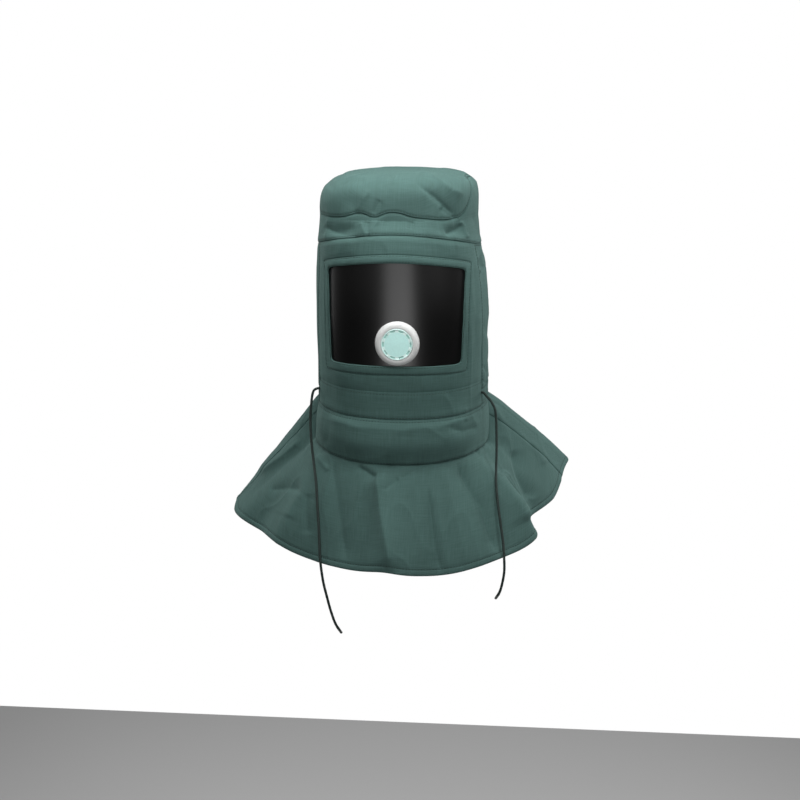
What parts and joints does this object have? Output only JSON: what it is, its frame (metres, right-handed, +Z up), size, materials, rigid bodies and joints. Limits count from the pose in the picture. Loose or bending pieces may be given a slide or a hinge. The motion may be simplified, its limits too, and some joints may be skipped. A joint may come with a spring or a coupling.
{
  "type": "sandblasting hood",
  "caption": "Canvas sandblasting hood with a boxy crown, a curved smoked window, a breathing valve, a drawn-in neck with two cords and a wide shoulder cape.",
  "frame": {"origin": "inside of the crown's top, where the wearer's head carries the hood", "axes": "+Z up through the crown, -Y out of the window, +X to the wearer's left"},
  "size_m": [0.4597, 0.4063, 0.5801],
  "materials": {
    "canvas": "matte",
    "pane": "glossy",
    "valve_white": "satin",
    "valve_mint": "satin",
    "cord": "matte"
  },
  "bodies": {
    "root": {"crown_top": "canvas", "crown_band": "canvas", "face_panel": "canvas", "window_facing": "canvas", "window_pane": "pane", "valve_body": "valve_white", "valve_cap": "valve_mint", "valve_nut": "valve_white", "chin_band": "canvas", "collar": "canvas", "hood_back": "canvas", "neck_casing": "canvas", "cape_front": "canvas", "cape_back": "canvas", "drawcord_left": "cord", "drawcord_right": "cord"}
  },
  "joints": []
}
